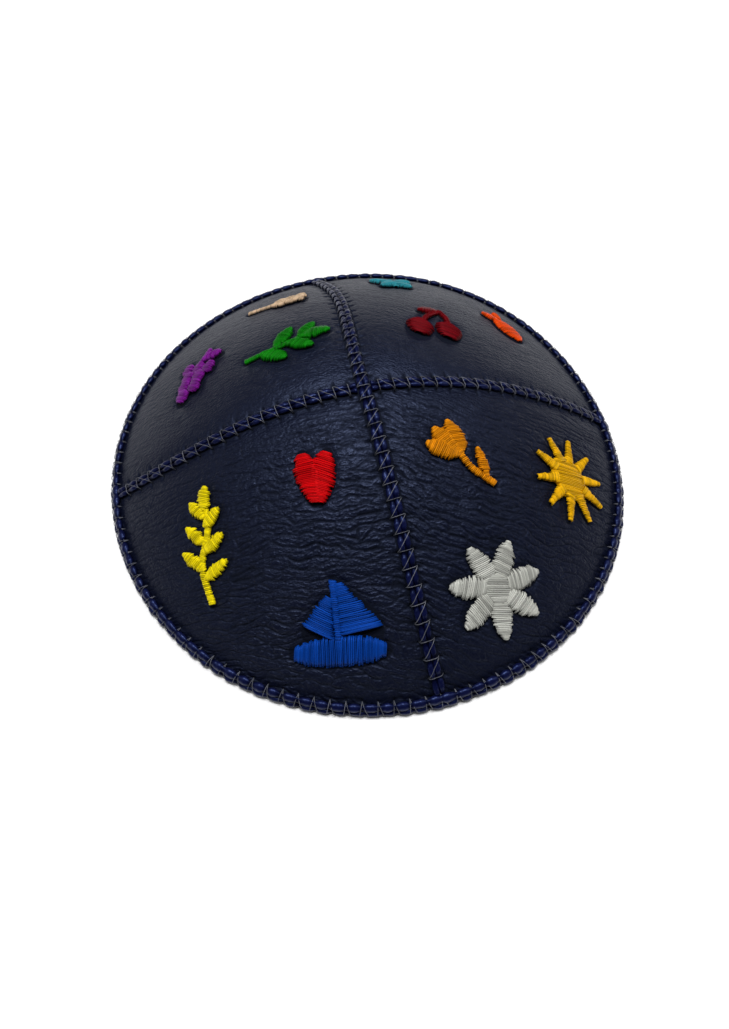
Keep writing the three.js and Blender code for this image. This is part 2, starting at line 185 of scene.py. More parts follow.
# Heights and depths of the leather's relief, in millimetres
SWELL_HEIGHT = 0.2
FOLD_DEPTH = 0.42
WRINKLE_DEPTH = 0.24
HOLE_DEPTH = 0.35
TICK_DEPTH = 0.4
RIM_HOLE_DEPTH = 0.3
RIM_TICK_DEPTH = 0.22
MOTIF_EDGE_DEPTH = 0.3
MOTIF_PULL_DEPTH = 0.12
FACE_UNEVENNESS = 0.03
SUEDE_UNEVENNESS = 0.05

# Widths and reaches of the dents, in millimetres
TICK_WIDTH = 0.42
TICK_LENGTH = 1.5
TICK_LENGTH_SPREAD = 0.8
RIM_TICK_WIDTH = 0.5
RIM_TICK_REACH = 0.8
MOTIF_EDGE_REACH = 0.8
MOTIF_PULL_REACH = 2.6
MOTIF_SHADE_REACH = 0.3

# Fineness of the meshes
FRONT_STEPS = 285
BACK_STEPS = 210
INNER_RATIO = 3
STRAND_SIDES = 12
STRAND_STEPS_PER_STITCH = 10
RIM_STEPS_PER_STITCH = 8

# Colours, linear
NAVY_LEATHER = (0.0012, 0.0019, 0.0088)
LEATHER_GLOSS = (0.46, 0.58, 1.0)
NAVY_SUEDE = (0.012, 0.014, 0.028)
CORD_BLUE = (0.002, 0.003, 0.025)
CORD_GLOSS = (0.3, 0.42, 1.0)
ZIGZAG_GREY = (0.13, 0.135, 0.16)
FLOOR_WHITE = (0.93, 0.93, 0.93)

# Multiples of a colour, roughness and shine, each from a crease or a pinch to the open face
# The leather's and the cord's colours, and the cord's shine, are painted shade; the suede's and the
# threads' colours differ at random.
CREASE_SHADE = (0.1, 1.0)
SUEDE_SHADE = (0.55, 1.7)
CORD_SHADE = (0.3, 1.15)
THREAD_SHADE = (0.55, 1.12)
LEATHER_ROUGHNESS = (0.36, 0.5)
CREASE_ROUGHNESS = (1.0, 0.42)
CORD_SHINE = (0.06, 0.4)

# Depths of the finest relief, which the materials add, in millimetres
GRAIN_BUMP = 0.08
PEBBLE_BUMP = 0.05
PORE_BUMP = 0.04
NAP_BUMP = 0.15
CORD_PLY_BUMP = 0.08
THREAD_PLY_BUMP = 0.03
FIBRE_BUMP = 0.03

# The camera, fitted to the photograph, in pixels and metres
PICTURE_HEIGHT = 1029
FOCAL_LENGTH = 700
SENSOR_HEIGHT = 36
CAMERA_RIGHT = Vector((0.98413, -0.17692, -0.01367))
CAMERA_UP = Vector((0.16152, 0.86127, 0.48179))
CAMERA_PLACE = Vector((-0.02006, -0.12465, 0.1926))

# Soft studio light, in metres and watts
WORLD_STRENGTH = 0.07
FLOOR_REACH = 3.0
LIGHT_TARGET = (0, 0, 0.02)
LIGHTS = [
    {"name": "key", "place": (-0.02, 0.25, 1.2), "size": 0.5, "power": 15},
    {"name": "fill_left", "place": (-0.9, 0.2, 1.1), "size": 0.8, "power": 2.5},
    {"name": "fill_right", "place": (0.9, 0.2, 1.1), "size": 0.8, "power": 4.5},
]

random = np.random.default_rng(11)
LATTICE = random.random((256, 256)) * 2 * math.pi


# Noise

def noise(x, y, shift=0):
    """Smooth noise from about -1 to 1 over a plane, with one wave to about two units."""
    x = x + 37.7 * shift
    y = y + 91.3 * shift
    x0 = np.floor(x).astype(int)
    y0 = np.floor(y).astype(int)
    fx = x - x0
    fy = y - y0

    def corner(i, j):
        turn = LATTICE[(x0 + i) % 256, (y0 + j) % 256]
        return np.cos(turn) * (fx - i) + np.sin(turn) * (fy - j)

    u = fx ** 3 * (fx * (fx * 6 - 15) + 10)
    v = fy ** 3 * (fy * (fy * 6 - 15) + 10)
    low = corner(0, 0) * (1 - u) + corner(1, 0) * u
    high = corner(0, 1) * (1 - u) + corner(1, 1) * u
    return 1.5 * (low * (1 - v) + high * v)


def creases(along, across, cell, shift):
    """Creases between long cells of a length and a width: 1 in a crease, 0 on a cell."""
    x = along / cell[0]
    y = across / cell[1]
    x0 = np.floor(x).astype(int)
    y0 = np.floor(y).astype(int)
    nearest = np.full(x.shape, 9.0)
    second = np.full(x.shape, 9.0)
    places = np.zeros((2, 2) + x.shape)
    for i in (-1, 0, 1):
        for j in (-1, 0, 1):
            turn = LATTICE[(x0 + i + 17 * shift) % 256, (y0 + j + 53 * shift) % 256]
            centre = np.stack([x0 + i + 0.5 + 0.4 * np.cos(turn),
                               y0 + j + 0.5 + 0.4 * np.sin(7 * turn)])
            distance = np.hypot(x - centre[0], y - centre[1])
            closest = distance < nearest
            places[1] = np.where(closest, places[0], np.where(distance < second, centre, places[1]))
            second = np.where(closest, nearest, np.minimum(second, distance))
            places[0] = np.where(closest, centre, places[0])
            nearest = np.minimum(nearest, distance)
    apart = places[1] - places[0]
    lengthwise = apart[1] ** 2 / (apart[0] ** 2 + apart[1] ** 2 + 1e-9)
    stretch = np.sqrt(lengthwise + (1 - lengthwise) * (cell[0] / cell[1]) ** 2)
    return (0.45 + 0.55 * lengthwise) * bell((second - nearest) * stretch, 0.22)


def bell(distance, width):
    return np.exp(-(distance / width) ** 2)


def off_whole(value):
    """How far a number lies from the nearest whole one, from -0.5 to 0.5."""
    return value - np.round(value)


# The shape of the dome

def along_seams(angle, column):
    """Each seam's own value, blended round the cap."""
    total = np.zeros_like(angle)
    for seam in SEAMS:
        nearness = np.cos(angle - math.radians(seam["bearing"]))
        total += np.where(nearness > 0, nearness ** 2, 0) * seam[column]
    return total


def away_from_stitches(distance):
    return 1 - bell(np.maximum(distance, 0), STITCH_PULL_REACH)


def crease_depth(x, y):
    depth = np.zeros_like(x)
    for crease in CREASES:
        turn = math.radians(crease["turn"])
        dx = x / LEATHER_RADIUS - crease["x"]
        dy = y / LEATHER_RADIUS - crease["y"]
        along = (dx * math.cos(turn) + dy * math.sin(turn)) / crease["length"]
        across = (dy * math.cos(turn) - dx * math.sin(turn)) / crease["width"]
        depth += crease["depth"] * LEATHER_WALL * np.exp(-along ** 2 - across ** 2)
    return depth


def outline(angle):
    factor = np.ones_like(angle)
    for swelling in OUT_OF_ROUND:
        offset = angle - math.radians(swelling["bearing"])
        factor += swelling["swell"] * np.cos(swelling["lobes"] * offset)
    return factor


def outer_face(x, y):
    """Points of the flat pattern, whose seams lie along X and Y, on the leather's outer face."""
    radius = np.hypot(x, y)
    share = radius / LEATHER_RADIUS
    angle = np.arctan2(y, x)
    fullness = along_seams(angle, "fullness")
    swing = along_seams(angle, "swing") + along_seams(angle, "bow") * 4 * share * (1 - share)
    sewn = angle + np.radians(swing)
    fall = share ** 2 * (1 - fullness * (1 - share ** 2))
    stitch_share = (away_from_stitches(abs(x)) * away_from_stitches(abs(y))
                    * away_from_stitches(LEATHER_RADIUS - radius))
    z = (LEATHER_EDGE_Z + (LEATHER_CROWN - LEATHER_EDGE_Z) * (1 - fall)
         + stitch_share * (PANEL_SWELL - crease_depth(x, y)))
    sewn_radius = radius * outline(sewn)
    return np.stack([sewn_radius * np.cos(sewn), sewn_radius * np.sin(sewn), z], -1)


def dome_normal(x, y):
    step = 0.05
    along_x = outer_face(x + step, y) - outer_face(x - step, y)
    along_y = outer_face(x, y + step) - outer_face(x, y - step)
    normal = np.cross(along_x, along_y)
    return normal / np.linalg.norm(normal, axis=-1, keepdims=True)


def on_dome(x, y, height):
    """Points raised off the outer face by a height, which may be an array."""
    height = np.broadcast_to(np.asarray(height, float), np.shape(x))
    return outer_face(x, y) + dome_normal(x, y) * height[..., None]


def flat_place(bearing, radius, side):
    """Flat pattern coordinates at a distance along a bearing and a distance beside it."""
    turn = math.radians(bearing)
    x = radius * math.cos(turn) - side * math.sin(turn)
    y = radius * math.sin(turn) + side * math.cos(turn)
    return x, y


def rim_place(angle, axial):
    """Flat pattern coordinates at a distance along the slope past the leather's edge."""
    radius = LEATHER_RADIUS + axial * math.cos(RIM_SLOPE)
    return radius * np.cos(angle), radius * np.sin(angle)


# Embroidery patterns: satin columns in a motif's own square, where 1 is its height. Those with
# strands, which are equally wide on every motif, need its size in millimetres.

def leaf(from_x, from_y, to_x, to_y, half):
    return {"spine": [(from_x, from_y), (to_x, to_y)],
            "halves": [0.25 * half, half, 0.95 * half, 0.2 * half]}


def disc(x, y, half):
    return {"spine": [(x, y - half), (x, y + half)],
            "halves": [0.42 * half, 0.88 * half, half, 0.88 * half, 0.42 * half]}


def strand(spine, size):
    half = STRAND_HALF_WIDTH / size
    return {"spine": spine, "halves": [half, half]}


def wedge(from_x, from_y, to_x, to_y, half_from, half_to):
    return {"spine": [(from_x, from_y), (to_x, to_y)], "halves": [half_from, half_to]}


def heart(_):
    halves = [0.08, 0.2, 0.25, 0.1]
    spine = [(0.05, -0.5), (0.1, -0.1), (0.24, 0.42)]
    return [{"spine": spine, "halves": halves},
            {"spine": [(-x, y) for x, y in spine], "halves": halves}]


def sprig(size):
    columns = [strand([(0.06, -0.5), (-0.03, -0.2), (0.03, 0.1), (-0.01, 0.36)], size)]
    for pair in range(3):
        y = -0.3 + 0.22 * pair
        reach = 0.22 - 0.035 * pair
        columns += [leaf(0, y, reach, y + 0.15, 0.05), leaf(0, y + 0.07, -reach, y + 0.22, 0.05)]
    return columns + [leaf(-0.01, 0.28, 0.01, 0.5, 0.06)]


def boat(size):
    hull = {"spine": [(-0.52, -0.33), (0.52, -0.33)], "halves": [0.07, 0.15, 0.17, 0.15, 0.07]}
    return [hull, strand([(0, -0.3), (0, 0.5)], size),
            wedge(0.26, -0.1, 0.06, 0.46, 0.26, 0.04),
            wedge(-0.22, -0.1, -0.06, 0.3, 0.2, 0.04)]


def tulip(size):
    return [strand([(0, 0.1), (-0.04, -0.2), (0.04, -0.5)], size),
            leaf(0, 0.02, 0, 0.5, 0.13), leaf(-0.04, 0.04, -0.22, 0.44, 0.11),
            leaf(0.04, 0.04, 0.22, 0.44, 0.11), leaf(0.02, -0.38, 0.22, -0.06, 0.06)]


def sun(_):
    columns = [disc(0, 0, 0.25)]
    rays = 10
    for ray in range(rays):
        across = math.cos(2 * math.pi * ray / rays)
        up = math.sin(2 * math.pi * ray / rays)
        columns.append(wedge(0.2 * across, 0.2 * up, 0.5 * across, 0.5 * up, 0.062, 0.022))
    return columns


def daisy(_):
    columns = []
    petals = 7
    for petal in range(petals):
        across = math.cos(2 * math.pi * (petal + 0.25) / petals)
        up = math.sin(2 * math.pi * (petal + 0.25) / petals)
        columns.append(leaf(0.06 * across, 0.06 * up, 0.5 * across, 0.5 * up, 0.1))
    return columns + [disc(0, 0, 0.14)]


def grapes(size):
    columns = []
    for row, count in enumerate([3, 2, 2, 1]):
        start = -(count - 1) / 2 + (0.16 if row == 2 else 0)
        columns += [disc((start + i) * 0.21, 0.13 - 0.17 * row, 0.105) for i in range(count)]
    return columns + [strand([(0, 0.15), (0.02, 0.5)], size), leaf(0, 0.3, 0.3, 0.4, 0.09)]


def twig(size):
    return [strand([(0, -0.5), (0.03, -0.1), (0, 0.25)], size),
            leaf(0, -0.3, 0.28, -0.06, 0.085), leaf(0, -0.14, -0.27, 0.1, 0.085),
            leaf(0.01, 0.0, 0.25, 0.26, 0.08), leaf(0, 0.14, -0.2, 0.36, 0.075),
            leaf(0, 0.18, 0.04, 0.5, 0.085)]


def wheat(size):
    columns = [strand([(0, -0.5), (0.02, 0.3)], size)]
    for pair in range(3):
        y = -0.1 + 0.17 * pair
        columns += [leaf(0, y, 0.17, y + 0.2, 0.065), leaf(0, y + 0.04, -0.16, y + 0.24, 0.065)]
    return columns + [leaf(0.01, 0.26, 0.02, 0.5, 0.065)]


def cherries(size):
    return [disc(-0.24, -0.26, 0.23), disc(0.26, -0.16, 0.23),
            strand([(-0.22, -0.1), (-0.12, 0.2), (0.06, 0.46)], size),
            strand([(0.24, 0), (0.2, 0.24), (0.06, 0.46)], size),
            leaf(0.02, 0.42, -0.32, 0.34, 0.09)]


def fish(_):
    return [{"spine": [(0, -0.22), (0, 0.5)], "halves": [0.06, 0.2, 0.24, 0.17, 0.04]},
            leaf(0, -0.14, 0.2, -0.5, 0.08), leaf(0, -0.14, -0.2, -0.5, 0.08)]


def butterfly(size):
    return [strand([(0, -0.34), (0, 0.36)], size),
            leaf(0.02, 0, 0.5, 0.36, 0.19), leaf(-0.02, 0, -0.5, 0.36, 0.19),
            leaf(0.02, -0.04, 0.38, -0.36, 0.15), leaf(-0.02, -0.04, -0.38, -0.36, 0.15)]


# Where each motif lies. radius and height are shares of the leather's radius, bearing and turn
# are in degrees, and the colour is linear.
MOTIFS = [
    {"name": "sprig_yellow", "shape": sprig, "slot": "thread_yellow",
     "colour": (0.82, 0.67, 0.004),
     "radius": 0.735, "bearing": 208.6, "turn": 76, "height": 0.406},
    {"name": "heart_red", "shape": heart, "slot": "thread_red",
     "colour": (0.55, 0.002, 0.004),
     "radius": 0.36, "bearing": 230.2, "turn": 80, "height": 0.178},
    {"name": "boat_blue", "shape": boat, "slot": "thread_blue",
     "colour": (0.003, 0.048, 0.31),
     "radius": 0.765, "bearing": 249.5, "turn": 80, "height": 0.283},
    {"name": "tulip_orange", "shape": tulip, "slot": "thread_gold_orange",
     "colour": (0.64, 0.22, 0.003),
     "radius": 0.405, "bearing": 312.2, "turn": 128, "height": 0.283},
    {"name": "sun_amber", "shape": sun, "slot": "thread_amber",
     "colour": (0.76, 0.41, 0.004),
     "radius": 0.77, "bearing": 332.5, "turn": 90, "height": 0.332},
    {"name": "daisy_silver", "shape": daisy, "slot": "thread_silver",
     "colour": (0.49, 0.495, 0.455),
     "radius": 0.77, "bearing": 290.8, "turn": 90, "height": 0.344},
    {"name": "grapes_purple", "shape": grapes, "slot": "thread_purple",
     "colour": (0.16, 0.009, 0.21),
     "radius": 0.71, "bearing": 148, "turn": 60, "height": 0.283},
    {"name": "twig_green", "shape": twig, "slot": "thread_green",
     "colour": (0.003, 0.15, 0.003),
     "radius": 0.395, "bearing": 126, "turn": 8, "height": 0.332},
    {"name": "wheat_beige", "shape": wheat, "slot": "thread_beige",
     "colour": (0.56, 0.4, 0.26),
     "radius": 0.745, "bearing": 108.5, "turn": -4, "height": 0.246},
    {"name": "cherries_crimson", "shape": cherries, "slot": "thread_crimson",
     "colour": (0.115, 0.001, 0.004),
     "radius": 0.485, "bearing": 45.5, "turn": 72, "height": 0.234},
    {"name": "fish_orange", "shape": fish, "slot": "thread_orange",
     "colour": (0.72, 0.065, 0.004),
     "radius": 0.815, "bearing": 33, "turn": -66, "height": 0.209},
    {"name": "butterfly_cyan", "shape": butterfly, "slot": "thread_cyan",
     "colour": (0.022, 0.22, 0.27),
     "radius": 0.82, "bearing": 70, "turn": 84, "height": 0.172},
]


def values_along(values, t):
    """A smooth curve through evenly spaced values."""
    values = np.asarray(values, float)
    place = np.clip(t, 0, 1) * (len(values) - 1)
    i = np.minimum(place.astype(int), len(values) - 2)
    w = place - i
    if values.ndim > 1:
        w = w[:, None]
    p0 = values[np.maximum(i - 1, 0)]
    p1 = values[i]
    p2 = values[i + 1]
    p3 = values[np.minimum(i + 2, len(values) - 1)]
    v0 = (p2 - p0) / 2
    v1 = (p3 - p1) / 2
    return ((2 * p1 - 2 * p2 + v0 + v1) * w ** 3
            + (-3 * p1 + 3 * p2 - 2 * v0 - v1) * w ** 2 + v0 * w + p1)


def motif_size(motif):
    return motif["height"] * LEATHER_RADIUS


def motif_place(motif, u, v):
    """A point of a motif's own square in the flat pattern."""
    turn = math.radians(motif["turn"]) - math.radians(motif["bearing"])
    radius = motif["radius"] * LEATHER_RADIUS
    outward = (u * math.sin(turn) + v * math.cos(turn)) * motif_size(motif)
    sideways = (v * math.sin(turn) - u * math.cos(turn)) * motif_size(motif)
    ends = outer_face(*flat_place(motif["bearing"], np.array([radius - 1, radius + 1]), 0))
    shortening = 2 / np.linalg.norm(ends[1] - ends[0])
    return flat_place(motif["bearing"], radius + outward * shortening, sideways)


# Meshes

def tubes(paths, ups, half_width, half_height, sides, twist, closed=False):
    """Tubes along many paths at once, where paths and ups are (tube, point, 3).
    The UV map's first coordinate counts the turns of the thread's plies."""
    tube_count, point_count = paths.shape[:2]
    if closed:
        tangent = np.roll(paths, -1, 1) - np.roll(paths, 1, 1)
    else:
        tangent = np.gradient(paths, axis=1)
    tangent /= np.linalg.norm(tangent, axis=-1, keepdims=True) + 1e-12
    side = np.cross(tangent, ups)
    side /= np.linalg.norm(side, axis=-1, keepdims=True) + 1e-12
    up = np.cross(side, tangent)
    half_width = np.broadcast_to(half_width, (tube_count, point_count))[..., None, None]
    half_height = np.broadcast_to(half_height, (tube_count, point_count))[..., None, None]
    turn = 2 * math.pi * (np.arange(sides) + 0.5) / sides
    ring = (side[:, :, None] * half_width * np.cos(turn)[:, None]
            + up[:, :, None] * half_height * np.sin(turn)[:, None])
    vertices = (paths[:, :, None] + ring).reshape(-1, 3)
    rows = point_count if closed else point_count - 1
    tube, row, k = np.meshgrid(np.arange(tube_count), np.arange(rows), np.arange(sides),
                               indexing="ij")
    next_row = (row + 1) % point_count
    next_k = (k + 1) % sides

    def at(r, s):
        return (tube * point_count + r) * sides + s

    quads = np.stack([at(row, k), at(next_row, k), at(next_row, next_k), at(row, next_k)], -1)
    faces = quads.reshape(-1, 4).tolist()

    travel = np.linalg.norm(np.roll(paths, -1, 1) - paths, axis=-1)[:, :rows]
    total = travel.sum(1, keepdims=True)
    rate = np.maximum(np.round(total / twist), 1) / total
    after = np.cumsum(travel, 1) * rate
    before = after - travel * rate
    left = k / sides
    right = (k + 1) / sides
    low = before[:, :, None] + 0 * left
    high = after[:, :, None] + 0 * left
    across = np.stack([low + left, high + left, high + right, low + right], -1)
    around = np.stack([left, left, right, right], -1)
    uvs = np.stack([across, around], -1).reshape(-1, 2)
    if not closed:
        first = np.arange(tube_count)[:, None] * point_count * sides + np.arange(sides)
        faces += first.tolist()
        faces += (first + (point_count - 1) * sides)[:, ::-1].tolist()
        uvs = np.concatenate([uvs, np.zeros((2 * tube_count * sides, 2))])
    return vertices, faces, uvs


def joined(parts):
    faces = []
    start = 0
    for vertices, part_faces, _ in parts:
        faces += [[i + start for i in face] for face in part_faces]
        start += len(vertices)
    return (np.concatenate([part[0] for part in parts]), faces,
            np.concatenate([part[2] for part in parts]))


def add_object(name, data):
    item = bpy.data.objects.new(name, data)
    bpy.context.scene.collection.objects.link(item)
    return item


def make_piece(name, vertices, faces, materials, nodes):
    mesh = bpy.data.meshes.new(name)
    mesh.from_pydata((vertices * MM).tolist(), [], faces)
    for material in materials:
        mesh.materials.append(material)
    mesh.shade_smooth()
    mesh.update()
    piece = add_object(name, mesh)
    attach(piece, "root")
    if nodes:
        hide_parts(*nodes)
    return piece


def set_attribute(piece, name, values):
    """Give each vertex a number, or a vector of three."""
    values = np.asarray(values, np.float32)
    kind, field = ("FLOAT", "value") if values.ndim == 1 else ("FLOAT_VECTOR", "vector")
    attribute = piece.data.attributes.new(name, kind, "POINT")
    attribute.data.foreach_set(field, values.ravel())


def make_threads(name, parts, material, nodes):
    """A piece of many tubes, with the UV map that its plies follow."""
    vertices, faces, uvs = joined(parts)
    piece = make_piece(name, vertices, faces, [material], nodes)
    piece.data.uv_layers.new(name="twist").data.foreach_set("uv", uvs.astype(np.float32).ravel())
    return piece


def set_cord_painted_shade(piece, fullness):
    """Painted shade: dark where the cord is pinched and light where it bulges."""
    painted_shade_and_tones = np.clip((fullness - 0.66) / 0.36, 0, 1)
    set_attribute(piece, "painted_shade_and_tone", np.repeat(painted_shade_and_tones, STRAND_SIDES))


def set_thread_tones(piece, thread_count):
    painted_shade_and_tones = random.random(thread_count)
    set_attribute(piece, "painted_shade_and_tone", np.repeat(painted_shade_and_tones, len(piece.data.vertices) // thread_count))


# Materials

def new_material(name, colour, roughness, specular=0.5):
    material = bpy.data.materials.new(name)
    material.use_nodes = True
    shader = material.node_tree.nodes["Principled BSDF"]
    shader.inputs["Base Color"].default_value = (*colour, 1)
    shader.inputs["Roughness"].default_value = roughness
    shader.inputs["Specular IOR Level"].default_value = specular
    return material, shader


def link(material, source, target):
    material.node_tree.links.new(source, target)


def add_node(material, kind, **values):
    node = material.node_tree.nodes.new(kind)
    for key, value in values.items():
        if key in node.inputs:
            node.inputs[key].default_value = value
        else:
            setattr(node, key, value)
    return node


def object_millimetres(material):
    """Object coordinates, scaled so that one unit is a millimetre."""
    coordinates = add_node(material, "ShaderNodeTexCoord")
    mapping = add_node(material, "ShaderNodeMapping")
    mapping.inputs["Scale"].default_value = (1 / MM, 1 / MM, 1 / MM)
    link(material, coordinates.outputs["Object"], mapping.inputs["Vector"])
    return mapping.outputs["Vector"]


def add_bump(material, height, distance, strength, normal=None):
    bump = add_node(material, "ShaderNodeBump", Strength=strength, Distance=distance)
    link(material, height, bump.inputs["Height"])
    if normal is not None:
        link(material, normal, bump.inputs["Normal"])
    return bump.outputs["Normal"]


def mesh_painted_shade_and_tone(material):
    """The mesh's painted shade and tone, from 0 where it is dark to 1 where it is light: painted
    shade on the leather and the cord, random tone on the threads.
    """
    return add_node(material, "ShaderNodeAttribute", attribute_name="painted_shade_and_tone").outputs["Fac"]


def shade_between(material, shader, colour, share, ends):
    """Base colour between a dark and a light multiple of a colour, by a share from 0 to 1."""
    ramp = add_node(material, "ShaderNodeValToRGB")
    for element, factor in zip(ramp.color_ramp.elements, ends):
        element.color = (*[c * factor for c in colour], 1)
    link(material, share, ramp.inputs["Fac"])
    link(material, ramp.outputs["Color"], shader.inputs["Base Color"])


def value_between(material, share, ends):
    """A number between two others, by a share from 0 to 1."""
    between = add_node(material, "ShaderNodeMapRange")
    between.inputs["To Min"].default_value, between.inputs["To Max"].default_value = ends
    link(material, share, between.inputs["Value"])
    return between.outputs["Result"]


def creases_between(material, vector, scale):
    """Height of rounded cells: 0 in the creases between them and 1 on top."""
    texture = add_node(material, "ShaderNodeTexVoronoi", feature="DISTANCE_TO_EDGE", Scale=scale)
    link(material, vector, texture.inputs["Vector"])
    rounded = add_node(material, "ShaderNodeMapRange", interpolation_type="SMOOTHSTEP")
    rounded.inputs["From Max"].default_value = 0.28
    link(material, texture.outputs["Distance"], rounded.inputs["Value"])
    return rounded.outputs["Result"]


def leather_material():
    material, shader = new_material("navy_leather", NAVY_LEATHER, 0.42, 0.36)
    shader.inputs["Specular Tint"].default_value = (*LEATHER_GLOSS, 1)
    place = object_millimetres(material)
    grain = add_node(material, "ShaderNodeAttribute", attribute_name="grain")
    pores = add_node(material, "ShaderNodeTexNoise", Scale=3.4, Detail=4.0, Roughness=0.62)
    patches = add_node(material, "ShaderNodeTexNoise", Scale=0.12, Detail=3.0)
    for texture in (pores, patches):
        link(material, place, texture.inputs["Vector"])
    drawn_out = add_bump(material, creases_between(material, grain.outputs["Vector"], 1.0),
                         GRAIN_BUMP * MM, 0.8)
    pebbled = add_bump(material, creases_between(material, place, 1.1), PEBBLE_BUMP * MM, 0.7,
                       drawn_out)
    fine = add_bump(material, pores.outputs["Fac"], PORE_BUMP * MM, 0.6, pebbled)
    link(material, fine, shader.inputs["Normal"])
    painted_shade_and_tone = mesh_painted_shade_and_tone(material)
    duller = add_node(material, "ShaderNodeMath", operation="MAXIMUM")
    roughness = (value_between(material, patches.outputs["Fac"], LEATHER_ROUGHNESS),
                 value_between(material, painted_shade_and_tone, CREASE_ROUGHNESS))
    for source, target in zip(roughness, duller.inputs):
        link(material, source, target)
    link(material, duller.outputs["Value"], shader.inputs["Roughness"])
    # Painted shade: the leather's colour is darkened in its creases and needle holes, under the
    # cord and round the embroidery.
    shade_between(material, shader, NAVY_LEATHER, painted_shade_and_tone, CREASE_SHADE)
    return material


def suede_material():
    material, shader = new_material("navy_suede", NAVY_SUEDE, 0.95, 0.2)
    place = object_millimetres(material)
    nap = add_node(material, "ShaderNodeTexNoise", Scale=4.0, Detail=6.0, Roughness=0.7)
    clouds = add_node(material, "ShaderNodeTexNoise", Scale=0.35, Detail=4.0)
    for texture in (nap, clouds):
        link(material, place, texture.inputs["Vector"])
    napped = add_bump(material, nap.outputs["Fac"], NAP_BUMP * MM, 0.8)
    link(material, napped, shader.inputs["Normal"])
    shade_between(material, shader, NAVY_SUEDE, clouds.outputs["Fac"], SUEDE_SHADE)
    shader.inputs["Sheen Weight"].default_value = 0.15
    return material


def add_plies(material, shader, depth, strength):
    """Twisted plies and loose fibres, along the UV map of a thread."""
    turns = add_node(material, "ShaderNodeUVMap", uv_map="twist")
    plies = add_node(material, "ShaderNodeTexWave", Scale=2 * math.pi / 20, Distortion=0.6)
    fibres = add_node(material, "ShaderNodeTexNoise", Scale=7.0, Detail=3.0)
    link(material, turns.outputs["UV"], plies.inputs["Vector"])
    link(material, object_millimetres(material), fibres.inputs["Vector"])
    twisted = add_bump(material, plies.outputs["Fac"], depth * MM, strength)
    frayed = add_bump(material, fibres.outputs["Fac"], FIBRE_BUMP * MM, 0.5, twisted)
    link(material, frayed, shader.inputs["Normal"])


def cord_material():
    material, shader = new_material("satin_cord", CORD_BLUE, 0.34, 0.36)
    shader.inputs["Specular Tint"].default_value = (*CORD_GLOSS, 1)
    add_plies(material, shader, CORD_PLY_BUMP, 0.7)
    # Painted shade: the cord's colour and shine are dimmed where it is pinched.
    painted_shade_and_tone = mesh_painted_shade_and_tone(material)
    shade_between(material, shader, CORD_BLUE, painted_shade_and_tone, CORD_SHADE)
    link(material, value_between(material, painted_shade_and_tone, CORD_SHINE), shader.inputs["Specular IOR Level"])
    return material


def thread_material(name, colour, roughness=0.4):
    material, shader = new_material(name, colour, roughness, 0.3)
    tint = [0.08 + 0.92 * c / max(colour) for c in colour]
    shader.inputs["Specular Tint"].default_value = (*tint, 1)
    add_plies(material, shader, THREAD_PLY_BUMP, 0.6)
    shade_between(material, shader, colour, mesh_painted_shade_and_tone(material), THREAD_SHADE)
    return material


# Leather panels

def crease_lines(x, y):
    """Distances along and across the leather's creases, which fan out from the front seam."""
    right = np.maximum(x, 0)
    left = np.minimum(x, 0)
    fan = LEFT_FAN["slope"] * left * bell(y - LEFT_FAN["y"], LEFT_FAN["reach"])
    drop = RIGHT_FAN["drop"] * (1 - np.exp(-right / RIGHT_FAN["reach"]))
    across = y + CREASE_SLOPE * x + fan + drop
    across += 1.5 * noise(x / 11, y / 9, 1) + 0.5 * noise(x / 4, y / 3.5, 2)
    along = x - CREASE_LEAN * y + 1.2 * noise(x / 7, y / 7, 3)
    return along, across


def crease_share(x, y):
    """How strongly the leather is creased: most over the middle of the front."""
    middle = np.zeros_like(x)
    for area in CREASED_AREAS:
        inside = bell(x - area["x"], area["width"]) * bell(y - area["y"], area["height"])
        middle = np.maximum(middle, area["share"] * inside)
    front = 1 / (1 + np.exp((y + 3) / 3))
    patchy = 1 + 0.4 * noise(x / 13, y / 10, 5)
    return (BACK_CREASING + front * (FRONT_CREASING + AREA_CREASING * middle)) * patchy


def wrinkle_relief(x, y):
    """Folds and wrinkles of the leather in millimetres, and the painted shade in their creases."""
    along, across = crease_lines(x, y)
    folds = creases(along, across, FOLD_CELL, 1)
    wrinkles = creases(along, across, WRINKLE_CELL, 2)
    swell = noise(along / 14, across / 4, 6)
    share = crease_share(x, y)
    relief = share * (SWELL_HEIGHT * swell - FOLD_DEPTH * folds - WRINKLE_DEPTH * wrinkles)
    return relief, np.clip(share * (0.85 * folds + 0.65 * wrinkles), 0, 0.85)


